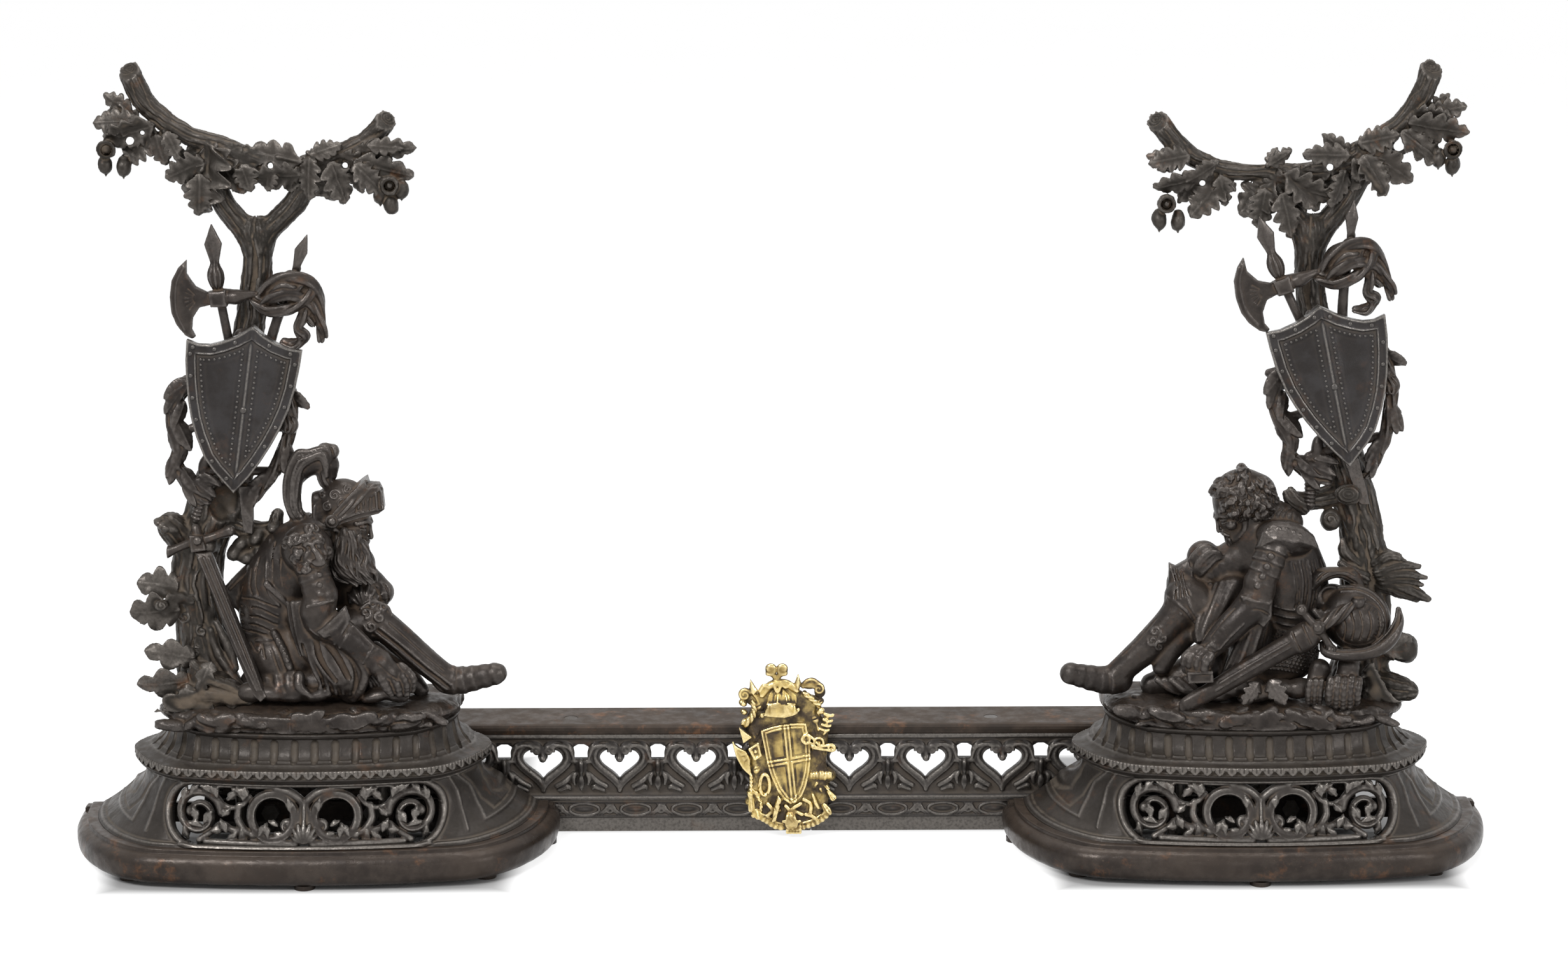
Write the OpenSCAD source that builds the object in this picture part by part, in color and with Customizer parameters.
// Cast-iron fire fender with two figure ends, a pierced rail and a brass cartouche.
// +X is to the right, +Y is to the back, +Z is up, and the floor is z = 0. Millimetres.

/* [Overall] */
// Distance between the middles of the two ends
end_spacing = 816; // [760:1:880]
// How far each end slides along the rail, each way
end_travel = 35; // [20:1:36]
// Thickness of the plinth castings' walls
wall = 6; // [5:0.5:8]

/* [Plinth] */
// Height of the feet
foot_h = 4; // [3:0.5:8]
// Radius of a foot
foot_r = 9; // [7:0.5:11]
// Half the width of the base moulding
base_half_w = 212; // [205:1:218]
// How far the base moulding reaches forward
base_front = 104; // [100:1:108]
// Height of the base moulding
base_h = 30; // [26:1:34]
// Half the width of the casing at its foot
casing_foot_half_w = 193; // [188:1:197]
// Half the width of the casing at its top
casing_top_half_w = 150; // [145:1:154]
// Height of the casing
casing_h = 54; // [50:1:60]
// Half the width of the leaf ledge
ledge_half_w = 159; // [156:1:165]
// Half the width of the neck at its top
neck_half_w = 127; // [123:1:130]
// Height of the neck with its ledge
neck_h = 39; // [36:1:44]
// Width of the pierced window in the casing
window_w = 232; // [210:1:236]
// Height of the pierced window
window_h = 48; // [40:1:50]
// Number of flutes round the neck
flute_count = 14; // [8:2:16]
// Width of a flute
flute_w = 8; // [5:0.5:9]

/* [Rail] */
// Length of the rail
rail_len = 1024; // [1000:2:1060]
// Height of the rail's underside over the floor
rail_lift = 2; // [1:0.5:4]
// Height of the frieze casting
frieze_h = 91; // [88:1:96]
// Thickness of the frieze
frieze_t = 7; // [6:0.5:8]
// Distance from one heart to the next
heart_pitch = 68; // [66:1:72]
// Width of a heart's opening
heart_w = 35; // [30:1:36]
// Height of a heart's opening
heart_h = 31; // [26:1:32]
// How far the row of hearts lies left of the middle
heart_shift = 7.5; // [0:0.5:10]
// Depth of the top plate, front to back
plate_depth = 56; // [50:1:64]
// Thickness of the top plate
plate_t = 9; // [8:0.5:12]

/* [Clamp] */
// Diameter of the clamp studs
stud_d = 8; // [6:0.5:8]
// Clearance round a stud in its hole or slot
stud_gap = 0.25; // [0.2:0.05:0.4]
// Height of the studs over the floor
stud_z = 24; // [21:1:25]
// Distance between the two studs of an end
stud_spacing = 90; // [88:1:100]
// Height of the flat bar across the back of a plinth
bar_h = 18; // [14:1:20]
// Thickness of the flat bar
bar_t = 4; // [3:0.5:4.5]

/* [Trophy] */
// Width of the shield
shield_w = 100; // [90:1:106]
// Height of the shield, from the middle peak to the tip
shield_h = 143; // [135:1:150]
// Thickness of the shield at its edge
shield_edge_t = 4; // [3:0.5:5]
// How far the shield's ridge stands over its edge
shield_ridge = 7; // [4:0.5:9]

/* [Cartouche] */
// Height of the brass cartouche
cartouche_h = 156; // [150:1:160]
// Thickness of the cartouche's backing
cartouche_t = 4; // [3:0.5:5]

/* [Hidden] */

LEFT = -1;
RIGHT = 1;

// Colours, as the photograph shows them
iron = [0.30, 0.28, 0.27];
dark_iron = [0.24, 0.22, 0.21];
brass = [0.72, 0.60, 0.30];
steel = [0.42, 0.40, 0.38];

// Levels of the stack
base_z = foot_h;
casing_z = base_z + base_h;
neck_z = casing_z + casing_h;
seat_z = neck_z + neck_h;

// The sculpture's points are written for a seat at this height, and move with the seat
sculpt_datum = 127;

// The plinth's plan: flat at the back, round at the corners, slightly bowed in front
back_y = 46;
side_straight = 14;
corner_share = 0.36;
front_bow = 11;
corner_steps = 5;
casing_front_foot = base_front - 12;
casing_front_top = base_front - 28;
ledge_front = casing_front_top + 9;
neck_front = casing_front_top - 16;

// The rail stands behind the plinths, with a running gap
rail_gap = 7;
rail_front = back_y + rail_gap;
rail_back = rail_front + frieze_t;
rail_top = rail_lift + frieze_h;
plate_front = back_y + 2;
heart_z = rail_lift + 63;
link_z = rail_lift + 73;
bead_z = rail_lift + 34.5;
flange_t = 5;
flange_depth = 24;
seam_x = -heart_shift + heart_pitch / 2;
plate_screw_x = [-440, -187, 187, 440];
plate_screw_y = rail_back + 12;
plate_screw_r = 3;
plate_screw_head_r = 6;
small_gap = 0.2;

// ---------- plan and shell of the plinth ----------

function corner_x(a) = a * (1 - corner_share);

function plan_half(a, f) =
    let (x1 = corner_x(a), rx = a - x1, y0 = -f + front_bow, yc = back_y - side_straight)
    concat(
        [[x1 * 0.5, -f + front_bow * 0.25]],
        [for (i = [0 : corner_steps]) let (t = 90 * i / corner_steps)
            [x1 + rx * sin(t), yc - (yc - y0) * cos(t)]],
        [[a, back_y]]);

function flip(points) = [for (i = [len(points) - 1 : -1 : 0]) [-points[i][0], points[i][1]]];

// The open outline from the back left corner, round the front, to the back right corner
function plan(a, f) = let (half = plan_half(a, f)) concat(flip(half), [[0, -f]], half);

function at_z(points, z) = [for (p = points) [p[0], p[1], z]];

// A wall that follows the plan at each level [z, half width, front], open at the back
module plan_shell(levels, t) {
    outer = [for (l = levels) each at_z(plan(l[1], l[2]), l[0])];
    inner = [for (l = levels) each at_z(plan(l[1] - t, l[2] - t), l[0])];
    n = len(plan(1, 1));
    m = len(levels);
    k = n * m;
    walls = [for (j = [0 : m - 2], i = [0 : n - 2]) let (a = j * n + i)
        each [[a, a + n, a + n + 1], [a, a + n + 1, a + 1],
              [k + a, k + a + 1, k + a + n + 1], [k + a, k + a + n + 1, k + a + n]]];
    rims = [for (i = [0 : n - 2]) let (b = (m - 1) * n + i)
        each [[i, i + 1, k + i + 1], [i, k + i + 1, k + i],
              [b, k + b, k + b + 1], [b, k + b + 1, b + 1]]];
    ends = [for (j = [0 : m - 2]) let (a = j * n, b = j * n + n - 1)
        each [[a, k + a, k + a + n], [a, k + a + n, a + n],
              [b, b + n, k + b + n], [b, k + b + n, k + b]]];
    polyhedron(concat(outer, inner), concat(walls, rims, ends), convexity = 6);
}

// ---------- tools for the sculpted castings ----------

function unit(v) = v / norm(v);

function point(p) = [p[0], p[1], p[2]];

// The direction of a stroke at each of its points
function heading(path, i) = let (n = len(path))
    unit(point(path[min(i + 1, n - 1)]) - point(path[max(i - 1, 0)]));

// One ring of a stroke: round, with the point's own radius, square to the heading
function stroke_ring(path, i, sides, flat) =
    let (d = heading(path, i),
         side = unit(cross(d, abs(d[1]) > 0.9 ? [0, 0, 1] : [0, 1, 0])),
         up = cross(side, d))
    [for (s = [0 : sides - 1]) let (t = 360 * (s + 0.5) / sides)
        point(path[i]) + path[i][3] * (cos(t) * side + flat * sin(t) * up)];

// A stroke is a tapering rod through points [x, y, z, radius]; flat thins it front to back
module stroke(path, sides = 8, flat = 1) {
    n = len(path);
    rings = [for (i = [0 : n - 1]) each stroke_ring(path, i, sides, flat)];
    skin = [for (j = [0 : n - 2], s = [0 : sides - 1])
        let (a = j * sides + s, b = j * sides + (s + 1) % sides)
        each [[a, b, b + sides], [a, b + sides, a + sides]]];
    first = [for (s = [sides - 1 : -1 : 0]) s];
    last = [for (s = [0 : sides - 1]) (n - 1) * sides + s];
    polyhedron(rings, concat(skin, [first, last]), convexity = 6);
}

module strokes(paths, sides = 8, flat = 1) {
    for (path = paths) stroke(path, sides, flat);
}

// A straight rod between two points
module rod(a, b, r, fn = 16) {
    d = b - a;
    translate(a) rotate([0, acos(d[2] / norm(d)), atan2(d[1], d[0])])
        cylinder(r = r, h = norm(d), $fn = fn);
}

// A rounded mass at a point, with its own half sizes
module mass(at, size, tilt = 0, fn = 8) {
    translate(at) rotate([0, tilt, 0]) scale(size) sphere(1, $fn = fn);
}

// A lobed oak leaf, flat to the front, growing from the origin along +X
leaf_edge = [[0, 0.03], [0.2, 0.3], [0.34, 0.17], [0.52, 0.4], [0.67, 0.22], [0.84, 0.29], [1, 0.04]];

module leaf(at, len, turn, t = 5, lean = 0) {
    edge = [for (p = leaf_edge) len * p];
    back = [for (i = [len(edge) - 1 : -1 : 0]) [edge[i][0], -edge[i][1]]];
    translate(at) rotate([0, -turn, 0]) rotate([90 + lean, 0, 0])
        translate([0, 0, -t / 2]) linear_extrude(t) polygon(concat(edge, back));
}

module oak_leaves(rows) {
    for (row = rows) leaf([row[0], row[1], row[2]], row[3], row[4], 5, row[5]);
}

module at_end(side) {
    translate([side * end_spacing / 2, 0, 0]) children();
}

// The frame in which the sculpture's points are written
module at_seat(side) {
    translate([side * end_spacing / 2, 0, seat_z - sculpt_datum]) children();
}

// ---------- plinth ----------

function base_levels() = [for (r = [[0, -11, -9], [0.14, -2, -2], [0.42, 0, 0], [0.78, -3, -2],
    [1, -13, -9]])
    [base_z + base_h * r[0], base_half_w + r[1], base_front + r[2]]];

function casing_levels() = [for (s = [0, 0.16, 0.38, 0.66, 1]) let (c = pow(1 - s, 2.2))
    [casing_z + casing_h * s,
     casing_top_half_w + (casing_foot_half_w - casing_top_half_w) * c,
     casing_front_top + (casing_front_foot - casing_front_top) * c]];

function neck_levels() = [for (r = [[0, 0, 0], [0.12, 0.9, 0.8], [0.3, 0.95, 0.95]])
    [neck_z + neck_h * r[0],
     casing_top_half_w + (ledge_half_w - casing_top_half_w) * r[1],
     casing_front_top + (ledge_front - casing_front_top) * r[2]]];

function flute_levels() = [for (r = [[0.4, 0.45], [0.66, 0.1], [1, 0.02]])
    [neck_z + neck_h * r[0],
     neck_half_w + (ledge_half_w - neck_half_w) * r[1],
     neck_front + (ledge_front - neck_front) * r[1]]];

foot_spots = [[base_half_w - 12, 30], [base_half_w * 0.72, -base_front + 42], [0, -base_front + 14]];

module foot_pads() {
    for (spot = foot_spots, s = spot[0] == 0 ? [1] : [-1, 1])
        translate([s * spot[0], spot[1], 0]) cylinder(r = foot_r, h = foot_h, $fn = 48);
}

module feet(side) {
    color(dark_iron) at_end(side) foot_pads();
}

rod_x = 62;
rod_y = -22;
rod_r = 4;
rib_t = 6;
rib_h = 14;
boss_r = 10;
lug_w = 22;
lug_depth = 12;
bar_half_len = base_half_w - 22;
bar_bolt_x = bar_half_len - 10;
bar_bolt_r = 3;
bar_thread_depth = 10;

module base_moulding(side) {
    color(iron) at_end(side) difference() {
        union() {
            plan_shell(base_levels(), wall + 12);
            for (s = [-1, 1]) {
                translate([s * rod_x - rib_t / 2, -base_front + 16, base_z + 6])
                    cube([rib_t, back_y + base_front - 16, rib_h]);
                translate([s * rod_x, rod_y, base_z + 6]) cylinder(r = boss_r, h = rib_h, $fn = 48);
                translate([s * (base_half_w - 16) - lug_w / 2, back_y - lug_depth, stud_z - bar_h / 2])
                    cube([lug_w, lug_depth, bar_h]);
            }
        }
        for (s = [-1, 1]) {
            translate([s * rod_x, rod_y, 0]) cylinder(r = rod_r + small_gap, h = casing_z, $fn = 48);
            translate([s * bar_bolt_x, back_y - bar_thread_depth, stud_z]) rotate([-90, 0, 0])
                cylinder(r = bar_bolt_r + small_gap, h = 2 * bar_thread_depth, $fn = 48);
        }
    }
}

module window_cut() {
    translate([0, -neck_front + 4, casing_z + casing_h / 2]) rotate([90, 0, 0])
        linear_extrude(base_front) union() {
        square([window_w - window_h, window_h], center = true);
        for (s = [-1, 1]) translate([s * (window_w - window_h) / 2, 0]) circle(window_h / 2, $fn = 32);
    }
}

module plinth_casing(side) {
    color(iron) at_end(side) difference() {
        plan_shell(casing_levels(), wall);
        window_cut();
    }
}

scroll_z = casing_z + casing_h / 2;
scroll_bar = 3.4;
grille_t = 4;
grille_inset = 1;

// A flat ribbon through points [across, up, half width]
function ribbon_side(path, i) = let (n = len(path), a = path[max(i - 1, 0)], b = path[min(i + 1, n - 1)],
    d = unit([b[0] - a[0], b[1] - a[1]])) [-d[1], d[0]];

module ribbon(path) {
    n = len(path);
    linear_extrude(base_front) polygon(concat(
        [for (i = [0 : n - 1]) [path[i][0], path[i][1]] + path[i][2] * ribbon_side(path, i)],
        [for (i = [n - 1 : -1 : 0]) [path[i][0], path[i][1]] - path[i][2] * ribbon_side(path, i)]));
}

// A scroll winds in from its outer end: centre, start and end radius, start and end angle
function scroll(cx, cz, r0, r1, a0, a1, thick, steps) =
    [for (i = [0 : steps]) let (s = i / steps, a = a0 + (a1 - a0) * s, r = r0 + (r1 - r0) * s)
        [cx + r * cos(a), cz + r * sin(a), thick * (1 - 0.3 * s)]];

module half_grille() {
    translate([25, 0, 0]) linear_extrude(base_front) difference() {
        circle(22, $fn = 40);
        circle(15, $fn = 40);
    }
    ribbon(scroll(90, 0, 24.5, 5, 200, -400, scroll_bar, 26));
    ribbon([[40, 16, 2.4], [48, 8, 3.2], [57, 2, 3.8], [66, -6, 3.2], [72, -20, 2.4]]);
    ribbon([[40, -17, 2.4], [47, -13, 3], [52, -4, 3], [57, 3, 3]]);
    ribbon([[57, 3, 3], [64, 12, 3], [70, 23, 3]]);
    for (lobe = [[44, -14, 285], [57, -1, 270], [57, 3, 90]])
        ribbon([[lobe[0], lobe[1], 1.6], [lobe[0] + 6 * cos(lobe[2]), lobe[1] + 6 * sin(lobe[2]), 4],
                [lobe[0] + 14 * cos(lobe[2]), lobe[1] + 14 * sin(lobe[2]), 1]]);
}

module palmette() {
    for (a = [-70, -35, 0, 35, 70])
        ribbon([[3 * sin(a), -22, 1.5], [13 * sin(a), -20 + 13 * cos(a), 3.6],
            [21 * sin(a), -20 + 22 * cos(a), 1]]);
    ribbon([[0, -25, 3], [0, 8, 2.2], [0, 25, 3]]);
    ribbon([[-26, 24, 2.5], [0, 21, 3.2], [26, 24, 2.5]]);
}

module scroll_grille(side) {
    color(dark_iron) at_end(side) intersection() {
        translate([0, 0, scroll_z]) rotate([90, 0, 0]) union() {
            half_grille();
            mirror([1, 0, 0]) half_grille();
            palmette();
        }
        window_cut();
        plan_shell([for (l = casing_levels()) l - [0, grille_inset, grille_inset]], grille_t);
    }
}

function flute_point(z, x) = let (a = neck_half_w + 2, f = neck_front + 2, x1 = corner_x(a))
    abs(x) <= x1 ? [x, -f + front_bow * pow(x / x1, 2), z]
    : let (rx = a - x1, t = asin(min(1, (abs(x) - x1) / rx)), yc = back_y - side_straight)
      [x, yc - (yc + f - front_bow) * cos(t), z];

module fluted_neck(side) {
    web = 5;
    spacing = 2 * neck_half_w * 0.955 / flute_count;
    color(iron) at_end(side) difference() {
        union() {
            plan_shell(concat(neck_levels(), flute_levels()), wall);
            translate([0, 0, seat_z - web]) linear_extrude(web)
                polygon(plan(neck_half_w - wall / 2, neck_front - wall / 2));
        }
        for (i = [0 : flute_count - 1]) {
            x = (i - (flute_count - 1) / 2) * spacing;
            foot = flute_point(neck_z + neck_h * 0.52, x * 1.03);
            head = flute_point(neck_z + neck_h * 0.82, x);
            rod(foot, head, flute_w / 2, 24);
            for (end = [foot, head]) translate(end) sphere(flute_w / 2, $fn = 24);
        }
        for (s = [-1, 1]) translate([s * rod_x, rod_y, neck_z])
            cylinder(r = rod_r + small_gap, h = 2 * neck_h, $fn = 24);
    }
}

// ---------- ground ----------

rod_grip = 9;
ground_top = 146;

// Rocks of the ground: middle and half sizes
left_rocks = [[-88, -10, 136, 44, 42, 17], [-34, -16, 137, 52, 44, 15], [34, -14, 136, 60, 46, 16],
    [94, -12, 137, 36, 34, 15], [0, 24, 138, 118, 22, 16]];
right_rocks = [[88, -10, 136, 44, 42, 17], [34, -16, 138, 52, 44, 16], [-34, -14, 136, 60, 46, 15],
    [-94, -12, 137, 36, 34, 15], [0, 24, 138, 118, 22, 16]];

module ground_form(side) {
    rocks = side == LEFT ? left_rocks : right_rocks;
    intersection() {
        union() {
            translate([0, 0, sculpt_datum]) linear_extrude(8)
                polygon(plan(neck_half_w + 3, neck_front + 2));
            for (r = rocks) hull() {
                mass([r[0], r[1], r[2]], [r[3], r[4], r[5]], 0, 7);
                translate([r[0], r[1], sculpt_datum]) cylinder(r = r[5], h = 1, $fn = 5);
            }
        }
        translate([0, 0, sculpt_datum]) linear_extrude(ground_top - sculpt_datum)
            polygon(plan(neck_half_w + 7, neck_front + 4));
    }
}

module rocky_ground(side) {
    color(iron) at_seat(side) difference() {
        ground_form(side);
        for (s = [-1, 1]) translate([s * rod_x, rod_y, sculpt_datum - 1])
            cylinder(r = rod_r + small_gap, h = rod_grip + 1.5, $fn = 24);
    }
}

// ---------- tree ----------

left_stem = [[-88, 8, 140, 30], [-90, 12, 168, 21], [-92, 14, 205, 19], [-94, 16, 245, 19],
    [-90, 18, 280, 20], [-78, 20, 316, 25], [-69, 20, 350, 21], [-58, 20, 410, 16],
    [-46, 20, 470, 13], [-38, 20, 520, 12.5], [-38, 20, 548, 14]];
left_limbs = [
    [[-38, 20, 535, 11], [-50, 20, 553, 12], [-64, 20, 574, 12], [-76, 20, 594, 12]],
    [[-38, 20, 535, 11], [-27, 20, 553, 12], [-9, 20, 570, 12], [8, 20, 590, 12]],
    [[-92, 14, 258, 10], [-106, 10, 277, 13], [-118, 4, 297, 14]],
    [[-66, 16, 296, 9], [-46, 12, 288, 9], [-30, 8, 292, 7], [-26, 8, 304, 5]],
    [[-100, 2, 150, 14], [-112, -14, 142, 12], [-122, -26, 134, 8]],
    [[-100, 10, 228, 9], [-114, 4, 233, 10], [-128, 0, 232, 14]]];
left_tree_leaves = [[-94, -2, 186, 42, 178, 20], [-104, -14, 162, 44, 186, 30],
    [-98, -30, 148, 42, 214, 40], [-110, 0, 240, 34, 140, 0], [-112, -2, 226, 34, 205, 0]];

right_stem = [[92, 8, 140, 32], [98, 12, 172, 24], [100, 14, 210, 22], [98, 16, 250, 21],
    [94, 18, 290, 19], [82, 20, 332, 19], [68, 20, 385, 17], [55, 20, 445, 14],
    [44, 20, 500, 12.5], [43, 20, 548, 14]];
right_limbs = [
    [[42, 20, 535, 11], [33, 20, 552, 12], [20, 20, 572, 12], [6, 20, 590, 11]],
    [[44, 20, 535, 11], [58, 20, 555, 12], [73, 20, 576, 12], [84, 20, 602, 12]],
    [[100, 14, 254, 15], [122, 10, 258, 12], [138, 6, 252, 8], [149, 4, 238, 4]],
    [[84, 16, 322, 10], [62, 12, 316, 9], [46, 8, 314, 9], [34, 6, 316, 7]],
    [[104, 2, 152, 14], [120, -10, 150, 14], [134, -16, 150, 9]],
    [[104, 8, 190, 14], [122, 4, 186, 13], [136, 0, 186, 9]]];
right_tree_leaves = [[100, -4, 196, 42, 0, 20], [102, -14, 170, 44, -10, 30],
    [96, 4, 258, 34, 170, 0], [110, 6, 262, 40, -20, 0]];

module tree_form(side) {
    difference() {
        union() {
            stroke(side == LEFT ? left_stem : right_stem, 7);
            strokes(side == LEFT ? left_limbs : right_limbs, 6);
            oak_leaves(side == LEFT ? left_tree_leaves : right_tree_leaves);
            for (i = [0 : 5]) hull() {
                bark = side == LEFT ? left_stem : right_stem;
                a = bark[1 + i % 3];
                b = bark[2 + i % 3];
                out = 0.86 * [cos(200 + 70 * i), sin(200 + 70 * i), 0];
                translate(point(a) + a[3] * out) sphere(5, $fn = 4);
                translate(point(b) + b[3] * out) sphere(4, $fn = 4);
            }
        }
        if (side == LEFT) mass([-70, -4, 316], [13, 15, 18], -8, 8);
    }
}

// Everything below the flat top of the ground
module below_ground() {
    translate([-200, -100, ground_top - 100]) cube([400, 200, 100]);
}

module tree_trunk(side) {
    color(iron) at_seat(side) difference() {
        tree_form(side);
        below_ground();
    }
}

// ---------- knights ----------

// The seated body, facing +X: torso, thigh, leg, foot, arms, skirt folds
body_strokes = [
    [[-28, -2, 172, 26], [-31, -2, 210, 34], [-28, -2, 245, 38], [-15, -2, 272, 33], [3, -4, 294, 19]],
    [[-12, -8, 192, 24], [22, -12, 203, 23], [52, -15, 213, 19], [66, -15, 212, 15]],
    [[60, -15, 220, 15], [85, -15, 199, 16.5], [107, -15, 178, 14.5], [123, -15, 165, 13]],
    [[4, -36, 270, 14], [8, -40, 250, 13.5], [12, -42, 232, 13]],
    [[16, -43, 216, 13], [38, -43, 201, 14], [60, -42, 184, 12]],
    [[62, -42, 184, 11], [72, -42, 172, 13], [80, -43, 158, 8]],
    [[-8, -24, 228, 15], [2, -33, 200, 15], [16, -38, 176, 14], [34, -38, 156, 11], [44, -36, 148, 6]],
    [[42, 4, 262, 14], [62, 6, 252, 14], [70, 4, 236, 13]]];
foot_stroke = [[110, -15, 157, 11], [128, -15, 164, 13.5], [150, -15, 168, 12.5], [162, -15, 169, 10.5],
    [167, -15, 170, 6]];
body_masses = [[-22, -16, 182, 30, 27, 27], [62, -15, 221, 17, 15, 15], [13, -45, 220, 19, 12, 12],
    [58, -4, 240, 15, 12, 16]];

helmed_strokes = [
    [[6, -4, 288, 19], [24, -4, 303, 15]],
    [[49, -6, 292, 9], [49, -8, 278, 14], [44, -8, 264, 15], [40, -6, 252, 8]],
    [[26, -2, 346, 7], [17, -2, 357, 12], [3, -2, 354, 12], [-8, -2, 341, 9], [-11, -2, 324, 7],
     [-6, -2, 308, 8], [6, -2, 296, 6]]];
helmed_masses = [[33, -4, 321, 23, 19, 23], [49, -4, 301, 11, 12, 14], [-1, -33, 283, 21, 13, 20]];

bare_strokes = [
    [[2, -4, 290, 20], [14, -4, 308, 15]],
    [[20, -6, 292, 10], [16, -6, 282, 8], [14, -6, 273, 3.5]]];
bare_masses = [[18, -4, 323, 30, 24, 26], [27, -4, 303, 18, 15, 15], [-26, -30, 286, 28, 15, 16],
    [46, 6, 271, 17, 14, 13]];

module raised_visor() {
    hull() for (s = [-1, 1]) {
        translate([28, -4 + s * 19, 302]) sphere(3, $fn = 4);
        translate([54, -4 + s * 11, 340]) sphere(2, $fn = 4);
        translate([68, -4 + s * 7, 333]) sphere(2, $fn = 4);
        translate([70, -4 + s * 8, 314]) sphere(2, $fn = 4);
    }
}

module finger_row() {
    for (i = [0 : 2]) hull() {
        translate([72 + 6.5 * i, -45 + i, 164]) sphere(4.6, $fn = 4);
        translate([75 + 7 * i, -46 + i, 150]) sphere(3.6, $fn = 4);
    }
}

module knight_form(side) {
    mirror([side == LEFT ? 0 : 1, 0, 0]) union() {
        strokes(body_strokes, 6);
        stroke(foot_stroke, 7);
        for (m = concat(body_masses, side == LEFT ? helmed_masses : bare_masses))
            mass([m[0], m[1], m[2]], [m[3], m[4], m[5]]);
        strokes(side == LEFT ? helmed_strokes : bare_strokes, 6);
        if (side == LEFT) raised_visor();
        finger_row();
    }
}

module knight(side) {
    color(iron) at_seat(side) difference() {
        knight_form(side);
        tree_form(side);
        below_ground();
    }
}

// Scabbard from the guard's middle to the tip, and the guard's two ends
left_blade = [[-86, -7, 294], [-44, -44, 141]];
left_guard = [[-106, -6, 288], [-60, -8, 300]];
right_blade = [[60, -44, 206], [-60, -54, 133]];
right_guard = [[41, -44, 228], [70, -46, 188]];
scabbard_r = [8, 5.5];

module sword_form(side) {
    blade = side == LEFT ? left_blade : right_blade;
    guard = side == LEFT ? left_guard : right_guard;
    d = unit(blade[0] - blade[1]);
    a = blade[0];
    stroke([[a[0], a[1], a[2], scabbard_r[0]],
            [blade[1][0] + 6 * d[0], blade[1][1] + 6 * d[1], blade[1][2] + 6 * d[2], scabbard_r[1]],
            [blade[1][0], blade[1][1], blade[1][2], 2]], 6, 0.7);
    stroke([concat(guard[0], [3.5]), concat((guard[0] + guard[1]) / 2, [3]), concat(guard[1], [3.5])], 6);
    for (p = guard) translate(p) sphere(5, $fn = 6);
    if (side == RIGHT) {
        grip_end = a + 30 * d;
        stroke([concat(a, [4]), concat(a + 15 * d, [4.6]), concat(grip_end, [3.6])], 6);
        translate(grip_end) sphere(6.5, $fn = 6);
    }
}

module sword(side) {
    color(dark_iron) at_seat(side) difference() {
        sword_form(side);
        tree_form(side);
        knight_form(side);
        ground_form(side);
    }
}

helmet_at = [98, -34, 208];
helmet_r = 31;
brim_r = 40;

module helmet_form() {
    translate(helmet_at) rotate([62, 18, 0]) {
        rotate_extrude($fn = 16) polygon([[0, 0], [helmet_r, 0],
            for (t = [0 : 30 : 90]) [helmet_r * cos(t), 1 + 27 * sin(t)]]);
        rotate_extrude($fn = 16) translate([brim_r - 4, -2]) square([6, 5]);
        for (a = [0 : 45 : 315]) hull() rotate(a) translate([brim_r - 7, 0, 1.5]) sphere(2, $fn = 4);
        cylinder(r = brim_r - 2, h = 3, center = true, $fn = 16);
    }
}

module fallen_helmet(side) {
    color(iron) at_seat(side) difference() {
        helmet_form();
        below_ground();
        tree_form(side);
        knight_form(side);
        sword_form(side);
    }
}

// ---------- boughs ----------

left_long_stem = [[2, 18, 600, 9], [-30, 18, 604, 11], [-60, 18, 613, 12], [-88, 18, 622, 12],
    [-112, 18, 638, 13], [-130, 18, 660, 13], [-143, 18, 690, 10.5]];
left_short_stem = [[6, 18, 600, 10], [30, 18, 606, 11], [52, 18, 615, 11], [68, 18, 628, 11],
    [79, 18, 644, 9.5]];
right_long_stem = [[78, 18, 608, 10], [98, 18, 622, 12], [116, 18, 640, 13], [131, 18, 662, 12],
    [143, 18, 690, 10.5]];
right_short_stem = [[74, 18, 604, 9], [40, 18, 598, 11], [0, 18, 600, 10], [-40, 18, 606, 11],
    [-65, 18, 618, 11], [-82, 18, 630, 11], [-93, 18, 642, 10]];

// Leaves of each bough: root point, length, turn, lean
left_long_leaves = [[-136, 16, 656, 30, 160, 0], [-130, 14, 634, 44, 168, 10], [-118, 12, 622, 40, 215, 15],
    [-74, 10, 604, 42, 190, 10], [-74, 8, 600, 44, 240, 15], [-42, 10, 606, 44, 285, 10],
        [-46, 12, 610, 40, 20, 0]];
left_short_leaves = [[14, 8, 600, 34, 310, 10], [36, 8, 602, 34, 285, 10], [52, 10, 612, 48, 8, 0],
    [52, 10, 602, 48, -8, 10]];
right_long_leaves = [[128, 14, 652, 44, 5, 0], [122, 12, 640, 52, -8, 10], [112, 12, 622, 40, -40, 15],
    [94, 12, 614, 46, -64, 10], [106, 12, 620, 44, -36, 10]];
right_short_leaves = [[-58, 14, 612, 42, 175, 0], [-50, 12, 600, 44, 200, 10], [-38, 12, 604, 48, 262, 10],
    [8, 12, 598, 50, 235, 10], [22, 6, 600, 58, 282, 0], [44, 12, 598, 42, 290, 10],
        [30, 14, 600, 42, 30, 0]];

// Acorn cups hang in threes near the outer ends: middle of the cluster
left_long_cups = [-158, 10, 612];
left_short_cups = [76, 8, 582];
right_long_cups = [160, 10, 612];
right_short_cups = [-80, 8, 566];

module acorn_cups(at) {
    translate(at) {
        for (a = [78, 204, 322]) translate([6.5 * cos(a), -2, 6.5 * sin(a)]) sphere(7.2, $fn = 24);
    }
}

module bough_form(stem, leaves, cups) {
    stroke(stem, 6);
    oak_leaves(leaves);
    acorn_cups(cups);
    rod(cups, point(stem[len(stem) - 3]), 3.2);
}

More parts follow.
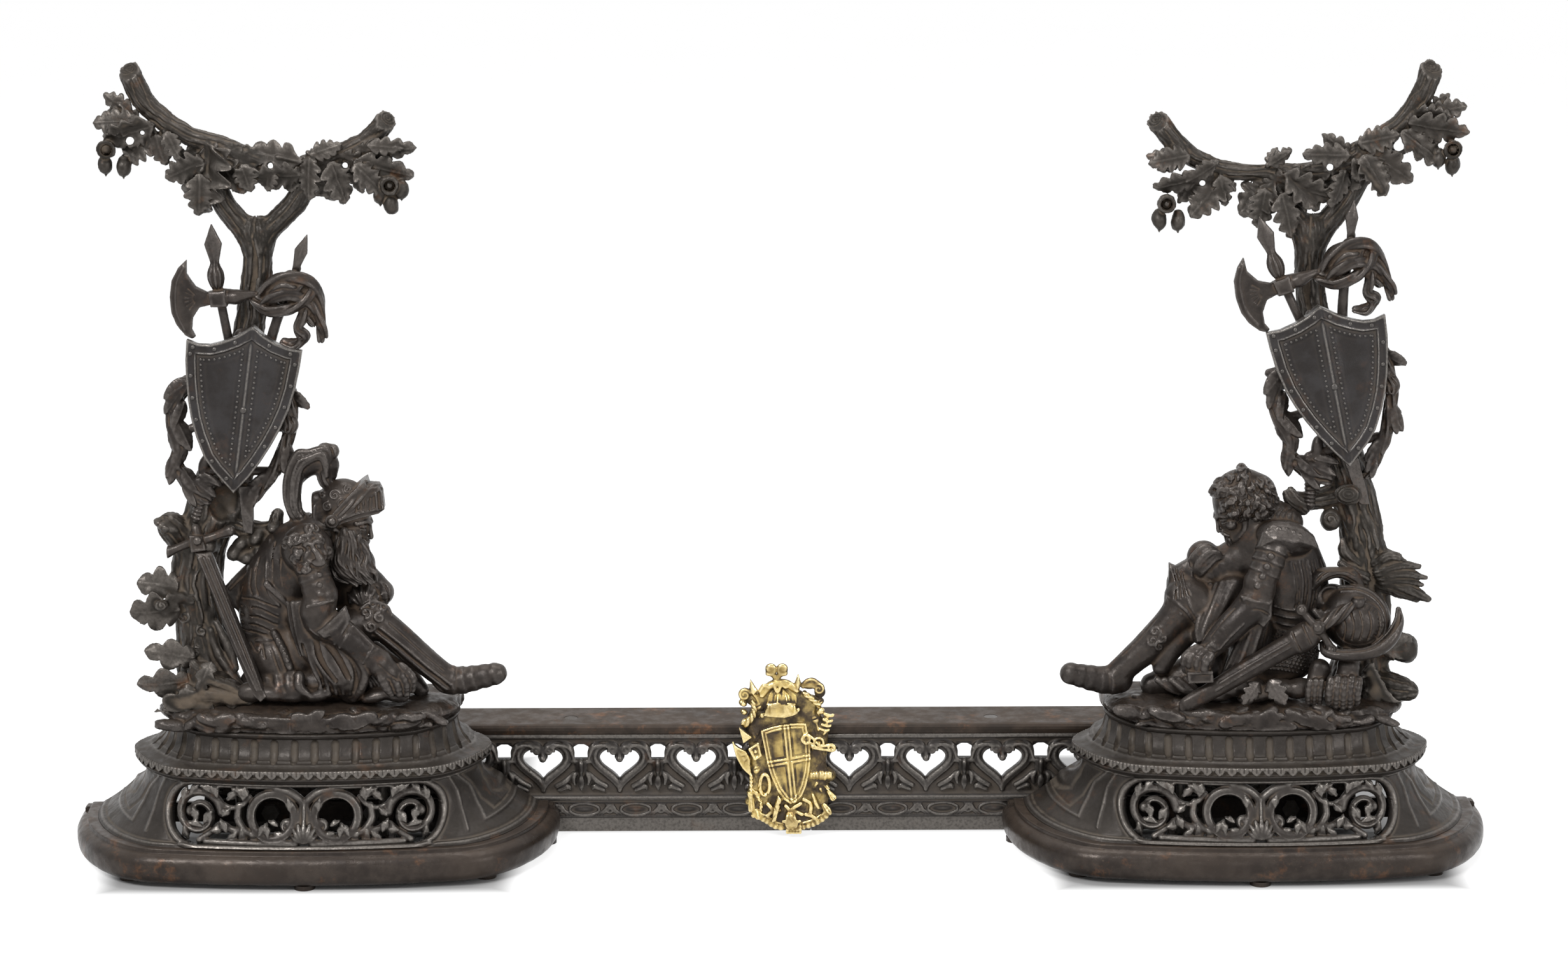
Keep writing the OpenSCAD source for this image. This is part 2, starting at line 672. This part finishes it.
module long_bough_form(side) {
    if (side == LEFT) bough_form(left_long_stem, left_long_leaves, left_long_cups);
    else bough_form(right_long_stem, right_long_leaves, right_long_cups);
}

module short_bough_form(side) {
    if (side == LEFT) bough_form(left_short_stem, left_short_leaves, left_short_cups);
    else bough_form(right_short_stem, right_short_leaves, right_short_cups);
}

// The two boughs of an end meet at this place across
function bough_seam(side) = side == LEFT ? 4 : 76;

module beyond_seam(side, long) {
    outward = side == LEFT ? -1 : 1;
    x = bough_seam(side) + small_gap / 2 * (long ? outward : -outward);
    reach = long ? outward : -outward;
    translate([x + (reach > 0 ? 0 : -400), -100, 400]) cube([400, 200, 400]);
}

// The top of the tree, which the boughs sit on
module tree_crown(side) {
    stem = side == LEFT ? left_stem : right_stem;
    limbs = side == LEFT ? left_limbs : right_limbs;
    n = len(stem);
    stroke([stem[n - 3], stem[n - 2], stem[n - 1]], 7);
    stroke(limbs[0], 6);
    stroke(limbs[1], 6);
}

module long_bough(side) {
    color(iron) at_seat(side) difference() {
        intersection() {
            long_bough_form(side);
            beyond_seam(side, true);
        }
        tree_crown(side);
    }
}

module short_bough(side) {
    color(iron) at_seat(side) difference() {
        intersection() {
            short_bough_form(side);
            beyond_seam(side, false);
        }
        tree_crown(side);
    }
}

// ---------- trophy of arms ----------

// The middle of the shield and how far its peak leans over to +X, at each end
left_trophy = [-51, 402, 8.7];
right_trophy = [63, 419, -10.7];
shield_y = -10;
trophy_y = -2;

module at_trophy(side) {
    place = side == LEFT ? left_trophy : right_trophy;
    at_seat(side) translate([place[0], 0, place[1]]) rotate([0, place[2], 0]) children();
}

function arc(cx, cz, r, a0, a1, steps) =
    [for (i = [0 : steps]) let (a = a0 + (a1 - a0) * i / steps) [cx + r * cos(a), cz + r * sin(a)]];

module axe() {
    blade = concat(arc(-36, 84, 37, 118, 232, 9), arc(-44, 66, 12, 200, 95, 4),
        arc(-42, 106, 15, 260, 150, 4));
    translate([0, trophy_y + 3, 0]) rotate([90, 0, 0]) linear_extrude(6) polygon(blade);
    stroke([[-50, trophy_y, 86, 6], [-20, trophy_y, 94, 7], [8, trophy_y, 100, 7]], 8);
}

module spear(s) {
    lean = 15;
    mirror([s < 0 ? 0 : 1, 0, 0]) rotate([0, -lean, 0]) translate([0, trophy_y, 0]) {
        stroke([[0, 0, -92, 4.5], [0, 0, 122, 4]], 6);
        hull() {
            translate([0, 0, 118]) sphere(4, $fn = 5);
            translate([0, 0, 138]) scale([1, 0.5, 1]) sphere(8, $fn = 6);
            translate([0, 0, 156]) sphere(0.8, $fn = 6);
        }
        if (s < 0) stroke([[0, 0, 95, 3], [0, 0, 103, 8], [0, 0, 112, 7], [0, 0, 117, 3]], 6);
    }
}

drapery_strokes = [
    [[0, -4, 97, 8], [20, -6, 104, 14], [42, -6, 102, 13], [58, -4, 90, 9], [62, -2, 74, 7]],
    [[6, -2, 92, 8], [28, -4, 90, 12], [46, -3, 82, 9], [52, -2, 70, 9], [40, -2, 62, 6], [26, -2, 64, 5]],
    [[20, 0, 108, 9], [40, 0, 113, 9], [60, 0, 104, 8], [66, 0, 88, 7], [62, 0, 66, 6]]];

swag = [[47, -2, 14, 7], [57, -2, -4, 10], [57, -2, -28, 8], [50, -2, -50, 10], [44, -2, -68, 8],
    [18, -2, -84, 5]];
swag_leaves = [[60, -2, -2, 24, -50, 0], [54, -2, -44, 24, -60, 0], [52, -2, 14, 24, 20, 0]];

module swag_pair() {
    for (s = [-1, 1]) mirror([s < 0 ? 1 : 0, 0, 0]) {
        stroke(swag, 6);
        oak_leaves(swag_leaves);
    }
}

// Ties behind the shield that hold the weapons together
module trophy_ties() {
    for (tie = [[0, -58, 96], [0, -20, 76], [0, 22, 112]])
        translate([tie[0], trophy_y + 1, tie[1]]) cube([tie[2], 7, 9], center = true);
    translate([0, trophy_y + 2.5, 21]) cube([14, 6.2, 150], center = true);
}

module trophy_form() {
    intersection() {
        union() {
            axe();
            spear(-1);
            spear(1);
            strokes(drapery_strokes, 6);
            swag_pair();
            trophy_ties();
        }
        union() {
            translate([-200, shield_y, -200]) cube([400, 100, 400]);
            translate([-200, shield_y - 50, 74]) cube([400, 100, 400]);
        }
    }
}

bolt_r = 3;
bolt_grip = 10;

module trophy(side) {
    color(iron) difference() {
        at_trophy(side) difference() {
            trophy_form();
            rotate([-90, 0, 0]) cylinder(r = bolt_r + small_gap, h = 80, center = true, $fn = 24);
        }
        at_seat(side) {
            stroke(side == LEFT ? left_stem : right_stem, 7);
            for (i = [0, 1, 3]) stroke(side == LEFT ? left_limbs[i] : right_limbs[i], 6);
            if (side == LEFT) stroke(helmed_strokes[2], 6);
            if (side == LEFT) mass([4, -2, 334], [14, 14, 16]);
            oak_leaves(side == LEFT ? left_long_leaves : right_long_leaves);
            oak_leaves(side == LEFT ? left_short_leaves : right_short_leaves);
        }
    }
}

// The shield's outline: a peaked top, straight shoulders and curved sides to the tip
function shield_side(w, h) = [for (i = [0 : 8]) let (s = i / 8)
    [w / 2 * pow(cos(90 * s), 0.75), h * (0.36 - 0.86 * pow(s, 1.15))]];
function shield_top(w, h) = [for (s = [1, 0.75, 0.5, 0.25, 0])
    [w / 2 * s, h * (0.41 + 0.09 * pow(1 - s, 2.2) - 0.035 * sin(180 * s))]];
function shield_outline(w, h) =
    let (right = concat([for (p = shield_top(w, h)) p]), down = shield_side(w, h))
    concat(down, [for (i = [len(down) - 2 : -1 : 0]) [-down[i][0], down[i][1]]],
           [for (i = [0 : 3]) [-right[i][0], right[i][1]]], [for (i = [4 : -1 : 0]) right[i]]);

module roof(rise) {
    translate([0, 0, -shield_h]) linear_extrude(2 * shield_h)
        polygon([[-shield_w, 0], [shield_w, 0], [shield_w, -shield_edge_t],
            [shield_w / 2, -shield_edge_t - rise],
                 [0, -shield_edge_t - shield_ridge - rise], [-shield_w / 2, -shield_edge_t - rise],
                 [-shield_w, -shield_edge_t]]);
}

shield_rim = 9;
rim_rise = 1.6;

module shield_plate(w, h, rise) {
    intersection() {
        rotate([90, 0, 0]) translate([0, 0, -1]) linear_extrude(60) polygon(shield_outline(w, h));
        roof(rise);
    }
}

module shield(side) {
    color(dark_iron) at_trophy(side) translate([0, shield_y, 0]) difference() {
        shield_plate(shield_w, shield_h, rim_rise);
        difference() {
            rotate([90, 0, 0]) linear_extrude(60)
                polygon(shield_outline(shield_w - 2 * shield_rim, shield_h - 2.6 * shield_rim));
            roof(0);
        }
        rotate([90, 0, 0]) cylinder(r = bolt_r + small_gap, h = 100, center = true, $fn = 48);
    }
}

// A countersunk bolt holds the shield through the trophy, with its nut at the back of the arms
module shield_bolt(side) {
    head_t = 2.5;
    face = shield_y - shield_edge_t - shield_ridge;
    color(steel) at_trophy(side) translate([0, face, 0]) rotate([-90, 0, 0]) {
        translate([0, 0, -head_t - small_gap]) cylinder(r = bolt_r * 1.8, h = head_t, $fn = 48);
        translate([0, 0, -head_t - small_gap]) cylinder(r = bolt_r, h =
            head_t + bolt_grip + shield_edge_t, $fn = 48);
    }
}

// ---------- what holds an end together ----------

nut_r = 8;
nut_t = 6;

module tie_rods(side) {
    top = seat_z + rod_grip;
    under = base_z + 6;
    color(steel) at_end(side) for (s = [-1, 1]) translate([s * rod_x, rod_y, 0]) {
        translate([0, 0, under - nut_t]) cylinder(r = rod_r, h = top - under + nut_t, $fn = 48);
        translate([0, 0, under - nut_t - small_gap]) cylinder(r = nut_r, h = nut_t, $fn = 6);
    }
}

module stud_places(side) {
    for (s = [-1, 1]) translate([s * stud_spacing / 2, 0, stud_z]) rotate([-90, 0, 0]) children();
}

module back_bar(side) {
    color(steel) at_end(side) difference() {
        translate([-bar_half_len, back_y, stud_z - bar_h / 2]) cube([2 * bar_half_len, bar_t, bar_h]);
        translate([0, back_y - 1, 0]) stud_places(side)
            cylinder(r = stud_d / 2 + small_gap, h = bar_t + 2, $fn = 48);
        for (s = [-1, 1]) translate([s * bar_bolt_x, back_y - 1, stud_z]) rotate([-90, 0, 0])
            cylinder(r = bar_bolt_r + small_gap, h = bar_t + 2, $fn = 48);
    }
}

module bar_bolts(side) {
    head_t = 2;
    color(steel) at_end(side) for (s = [-1, 1]) translate([s * bar_bolt_x, back_y, stud_z])
        rotate([-90, 0, 0]) {
        translate([0, 0, 1 - bar_thread_depth]) cylinder(r = bar_bolt_r, h =
            bar_thread_depth - 1 + bar_t, $fn = 48);
        translate([0, 0, bar_t]) cylinder(r = 2 * bar_bolt_r, h = head_t, $fn = 48);
    }
}

stud_head_t = 5;
washer_t = 2;
clamp_gap = 0.3;

// The studs pass the bar and the slots in the frieze
module clamp_studs(side) {
    reach = rail_back - back_y + washer_t + nut_t + 4;
    color(steel) at_end(side) translate([0, back_y, 0]) stud_places(side) {
        translate([0, 0, -stud_head_t]) cylinder(r = stud_d, h = stud_head_t, $fn = 6);
        translate([0, 0, -1]) cylinder(r = stud_d / 2, h = reach + 1, $fn = 48);
    }
}

module clamp_nuts(side) {
    color(steel) at_end(side) translate([0, rail_back + clamp_gap, 0]) stud_places(side) difference() {
        union() {
            cylinder(r = stud_d + 2, h = washer_t, $fn = 48);
            translate([0, 0, washer_t]) cylinder(r = stud_d, h = nut_t, $fn = 4);
        }
        translate([0, 0, -1]) cylinder(r = stud_d / 2 + 0.05, h = 20, $fn = 48);
    }
}

// ---------- rail ----------

function heart_curve(t) = [16 * pow(sin(t), 3), 13 * cos(t) - 5 * cos(2 * t) - 2 * cos(3 * t) - cos(4 * t)];
heart_steps = 20;

module heart(w, h) {
    polygon([for (i = [0 : heart_steps - 1]) let (p = heart_curve(360 * i / heart_steps))
        [p[0] * w / 32, (p[1] + 2.5) * h / 29]]);
}

// Middles of the hearts that fit on the rail
heart_reach = floor((rail_len / 2 - heart_shift - heart_w * 0.75) / heart_pitch);
heart_x = [for (i = [-heart_reach : heart_reach]) i * heart_pitch - heart_shift];

link_w = 18;
link_h = 13;

module link_hole() {
    polygon([[-link_w / 2, -1], [-link_w * 0.36, link_h * 0.35], [-link_w * 0.14, link_h / 2],
        [link_w * 0.14, link_h / 2],
             [link_w * 0.36, link_h * 0.35], [link_w / 2, -1], [link_w * 0.4, -link_h / 2],
                 [-link_w * 0.4, -link_h / 2]]);
}

rib_rise = 2.2;
rib_gap = 2.5;
rib_w = 5;
bud_r = 5;

module to_front(rise) {
    translate([0, rail_front + 1, 0]) rotate([90, 0, 0]) linear_extrude(rise + 1) children();
}

// The mouldings that run the length of the frieze, as one profile in y and z
function frieze_profile() =
    let (f = rail_front, b = rail_back, z0 = rail_lift, z1 = rail_top)
    concat([[b, z0], [f + 1, z0], [f, z0 + 1], [f, z0 + 14], [f - 1.2, z0 + 15], [f, z0 + 16],
            [f, bead_z - 5]],
           [for (a = [-90 : 30 : 90]) [f - 4 * cos(a), bead_z + 4 * sin(a)]],
           [[f, bead_z + 5], [f, z1 - 10], [f - 1, z1 - 7], [f - 2.6, z1 - 4.5], [f - 4.5, z1 - 3],
               [f - 4.5, z1],
            [b + flange_depth, z1], [b + flange_depth, z1 - flange_t], [b, z1 - flange_t]]);

module frieze_plate(x0, x1) {
    translate([x0, 0, 0]) rotate([90, 0, 90]) linear_extrude(x1 - x0) polygon(frieze_profile());
}

// A slot along X in which a stud travels
module slot_cut() {
    r = stud_d / 2 + stud_gap;
    depth = frieze_t + 10;
    translate([-end_travel, -r, 0]) cube([2 * end_travel, 2 * r, depth]);
    for (s = [-1, 1]) translate([s * end_travel, 0, 0]) cylinder(r = r, h = depth, $fn = 32);
}

module frieze(x0, x1) {
    hearts = [for (x = heart_x) if (x > x0 && x < x1) x];
    links = [for (x = heart_x, s = [-1, 1]) let (c = x + s * heart_pitch / 2)
        if (c > x0 + link_w / 2 - 1 && c < x1 - link_w / 2 + 1 && s > 0) c];
    slots = [for (s = [-1, 1], k = [-1, 1]) s * end_spacing / 2 + k * stud_spacing / 2];
    difference() {
        union() {
            frieze_plate(x0, x1);
            for (x = hearts) translate([x, 0, heart_z]) to_front(rib_rise) difference() {
                heart(heart_w + 2 * (rib_gap + rib_w), heart_h + 2 * (rib_gap + rib_w));
                heart(heart_w + 2 * rib_gap, heart_h + 2 * rib_gap);
            }
        }
        for (x = hearts) translate([x, 0, heart_z]) difference() {
            translate([0, rail_back + 1, 0]) rotate([90, 0, 0]) linear_extrude(frieze_t + 10)
                heart(heart_w, heart_h);
            translate([0, rail_back + 2, 7]) rotate([90, 0, 0])
                cylinder(r = bud_r, h = frieze_t + 1, $fn = 32);
        }
        for (x = links) translate([x, rail_back + 1, link_z]) rotate([90, 0, 0])
            linear_extrude(frieze_t + 10) link_hole();
        for (x = slots) if (x > x0 && x < x1) translate([x, rail_front - 5, stud_z]) rotate([-90, 0, 0])
            slot_cut();
        for (x = plate_screw_x) if (x > x0 && x < x1) translate([x, plate_screw_y, rail_top - 20])
            cylinder(r = plate_screw_r - 0.05, h = 21, $fn = 48);
        for (x = splice_screw_x) if (x > x0 && x < x1) translate([x, rail_front + 3, splice_z])
            rotate([-90, 0, 0])
            cylinder(r = splice_screw_r - 0.05, h = frieze_t, $fn = 48);
        for (z = cartouche_screw_z) if (cartouche_x > x0 && cartouche_x < x1)
            translate([cartouche_x, rail_front - 8, z]) rotate([-90, 0, 0])
                cylinder(r = splice_screw_r + small_gap, h = frieze_t + 16, $fn = 48);
    }
}

splice_len = 64;
splice_h = 18;
splice_t = 4;
splice_z = rail_lift + 26;
splice_screw_r = 2.5;
splice_screw_x = [seam_x - splice_len / 3, seam_x + splice_len / 3];
cartouche_x = 1;
cartouche_screw_z = [rail_lift + 9, rail_top - 6];

module rail_left_frieze() {
    color(iron) frieze(-rail_len / 2, seam_x - small_gap / 2);
}

module rail_right_frieze() {
    color(iron) frieze(seam_x + small_gap / 2, rail_len / 2);
}

function plate_profile() =
    let (f = plate_front, b = plate_front + plate_depth, z0 = rail_top, z1 = rail_top + plate_t)
    [[f + 1.5, z0], [b - 2, z0], [b, z0 + 2], [b, z1 - 2], [b - 1, z1], [f + 4, z1], [f + 1.5, z1 - 0.6],
     [f, z1 - 2.5], [f, z1 - 5], [f + 0.8, z0 + 1.5]];

module rail_top_plate() {
    color(iron) difference() {
        translate([-rail_len / 2, 0, 0]) rotate([90, 0, 90]) linear_extrude(rail_len)
            polygon(plate_profile());
        for (x = plate_screw_x) translate([x, plate_screw_y, rail_top]) {
            translate([0, 0, -1]) cylinder(r = plate_screw_r + small_gap, h = plate_t + 2, $fn = 48);
            translate([0, 0, plate_t - 3]) cylinder(r = plate_screw_head_r + small_gap, h = 4, $fn = 48);
        }
    }
}

module rail_plate_screws() {
    color(steel) for (x = plate_screw_x) translate([x, plate_screw_y, rail_top]) {
        translate([0, 0, -flange_t]) cylinder(r = plate_screw_r - 0.1, h = flange_t + plate_t - 3,
            $fn = 48);
        translate([0, 0, plate_t - 3]) cylinder(r = plate_screw_head_r, h = 2.8, $fn = 48);
    }
}

module rail_splice_plate() {
    color(steel) difference() {
        translate([seam_x - splice_len / 2, rail_back, splice_z - splice_h / 2])
            cube([splice_len, splice_t, splice_h]);
        for (x = splice_screw_x) translate([x, rail_back - 1, splice_z]) rotate([-90, 0, 0])
            cylinder(r = splice_screw_r + small_gap, h = splice_t + 2, $fn = 48);
    }
}

module rail_splice_screws() {
    color(steel) for (x = splice_screw_x) translate([x, rail_back + splice_t, splice_z])
        rotate([-90, 0, 0]) {
        translate([0, 0, 3.5 - splice_t - frieze_t]) cylinder(r = splice_screw_r - 0.1, h =
            splice_t + frieze_t - 3.5, $fn = 48);
        cylinder(r = 2 * splice_screw_r, h = 2.4, $fn = 48);
    }
}

// ---------- brass cartouche ----------

cart_shield = [[-17, 100], [0, 104], [22, 105], [25, 84], [24, 62], [18, 44], [10, 34], [0, 42],
    [-10, 60], [-16, 80]];
cart_strokes = [
    [[-18, 0, 118, 7], [-30, 0, 126, 6], [-36, 0, 134, 4.5], [-28, 0, 140, 4]],
    [[14, 0, 118, 7], [26, 0, 126, 6], [34, 0, 136, 5], [24, 0, 144, 4]],
    [[-4, 0, 128, 10], [-6, 0, 142, 7], [-10, 0, 152, 6], [-8, 0, 156, 3]],
    [[0, 0, 140, 6], [2, 0, 152, 6], [0, 0, 157, 3]],
    [[-30, 0, 112, 4], [-28, 0, 92, 7], [-30, 0, 74, 6], [-26, 0, 52, 5], [-28, 0, 32, 5],
        [-16, 0, 18, 6], [2, 0, 10, 6]],
    [[40, 0, 110, 4], [36, 0, 94, 6], [40, 0, 84, 5], [38, 0, 64, 7], [36, 0, 46, 6], [38, 0, 30, 5],
        [26, 0, 18, 6], [12, 0, 8, 5]],
    [[6, 0, 30, 9], [8, 0, 16, 9], [10, 0, 4, 5]],
    [[24, 0, 56, 9], [42, 0, 56, 8]],
    [[-12, 0, 50, 8], [-24, 0, 40, 6]],
    [[-38, 0, 84, 3], [-30, 0, 72, 6], [-24, 0, 60, 3]]];
cart_back_y = rail_front - 4.7;

module cartouche_form() {
    stretch = cartouche_h / 156;
    translate([0, 0, rail_lift + 1]) scale([1, 1, stretch]) intersection() {
        union() {
            translate([0, cart_back_y, 0]) rotate([90, 0, 0]) linear_extrude(cartouche_t)
                polygon([[-24, 120], [-14, 134], [14, 134], [24, 120], [34, 100], [36, 60], [30, 26],
                    [8, 6], [-16, 18], [-26, 40], [-28, 90]]);
            translate([0, cart_back_y - 3, 0]) strokes(cart_strokes, 4, 0.7);
            hull() for (p = cart_shield) translate([p[0], cart_back_y - cartouche_t - 5, p[1] - 1])
                sphere(1.5, $fn = 4);
            translate([1, cart_back_y - cartouche_t, 119]) scale([13, 9, 15]) sphere(1, $fn = 8);
            for (s = [-1, 1], k = [0, 1, 2]) hull() {
                translate([s * 20 - 5, cart_back_y - 3, 128]) sphere(2.5, $fn = 4);
                translate([s * 21 - 5, cart_back_y - 3, 136 + 2 * k]) sphere(3.4 - k, $fn = 4);
                translate([s * 21 - 5, cart_back_y - 3, 146]) sphere(0.6, $fn = 4);
            }
            hull() {
                translate([20, cart_back_y - 7, 90]) sphere(3, $fn = 6);
                translate([46, cart_back_y - 5, 81]) sphere(3, $fn = 6);
            }
        }
        translate([-60, cart_back_y - 30, -10]) cube([120, 30, 190]);
    }
}

// Room behind the cartouche for the front edge of the top plate
module plate_nose_room() {
    translate([cartouche_x - rail_len / 2, plate_front - small_gap, rail_top - small_gap])
        cube([rail_len, plate_depth, plate_t + 2 * small_gap]);
}

module cartouche() {
    color(brass) difference() {
        cartouche_form();
        plate_nose_room();
        for (z = cartouche_screw_z) translate([cartouche_x, cart_back_y + 1, z]) rotate([90, 0, 0])
            cylinder(r = splice_screw_r + small_gap, h = 6, $fn = 24);
    }
}

module cartouche_screws() {
    color(steel) for (z = cartouche_screw_z) translate([cartouche_x, rail_back, z]) rotate([90, 0, 0]) {
        cylinder(r = splice_screw_r, h = rail_back - cart_back_y + 4, $fn = 48);
        if (z < rail_top - flange_t - 8) translate([0, 0, -2.4])
            cylinder(r = 2 * splice_screw_r, h = 2.4, $fn = 48);
    }
}

// ---------- drawing ----------

rail_left_frieze();
rail_right_frieze();
rail_top_plate();
rail_plate_screws();
rail_splice_plate();
rail_splice_screws();
cartouche();
cartouche_screws();
feet(LEFT);  // left_feet
base_moulding(LEFT);  // left_base_moulding
plinth_casing(LEFT);  // left_plinth_casing
scroll_grille(LEFT);  // left_scroll_grille
fluted_neck(LEFT);  // left_fluted_neck
rocky_ground(LEFT);  // left_rocky_ground
tree_trunk(LEFT);  // left_tree_trunk
knight(LEFT);  // left_knight
sword(LEFT);  // left_sword
long_bough(LEFT);  // left_long_bough
short_bough(LEFT);  // left_short_bough
trophy(LEFT);  // left_trophy
shield(LEFT);  // left_shield
shield_bolt(LEFT);  // left_shield_bolt
tie_rods(LEFT);  // left_tie_rods
back_bar(LEFT);  // left_back_bar
bar_bolts(LEFT);  // left_bar_bolts
clamp_studs(LEFT);  // left_clamp_studs
clamp_nuts(LEFT);  // left_clamp_nuts
feet(RIGHT);  // right_feet
base_moulding(RIGHT);  // right_base_moulding
plinth_casing(RIGHT);  // right_plinth_casing
scroll_grille(RIGHT);  // right_scroll_grille
fluted_neck(RIGHT);  // right_fluted_neck
rocky_ground(RIGHT);  // right_rocky_ground
tree_trunk(RIGHT);  // right_tree_trunk
knight(RIGHT);  // right_knight
sword(RIGHT);  // right_sword
long_bough(RIGHT);  // right_long_bough
short_bough(RIGHT);  // right_short_bough
trophy(RIGHT);  // right_trophy
shield(RIGHT);  // right_shield
shield_bolt(RIGHT);  // right_shield_bolt
tie_rods(RIGHT);  // right_tie_rods
back_bar(RIGHT);  // right_back_bar
bar_bolts(RIGHT);  // right_bar_bolts
clamp_studs(RIGHT);  // right_clamp_studs
clamp_nuts(RIGHT);  // right_clamp_nuts
fallen_helmet(RIGHT);  // right_fallen_helmet
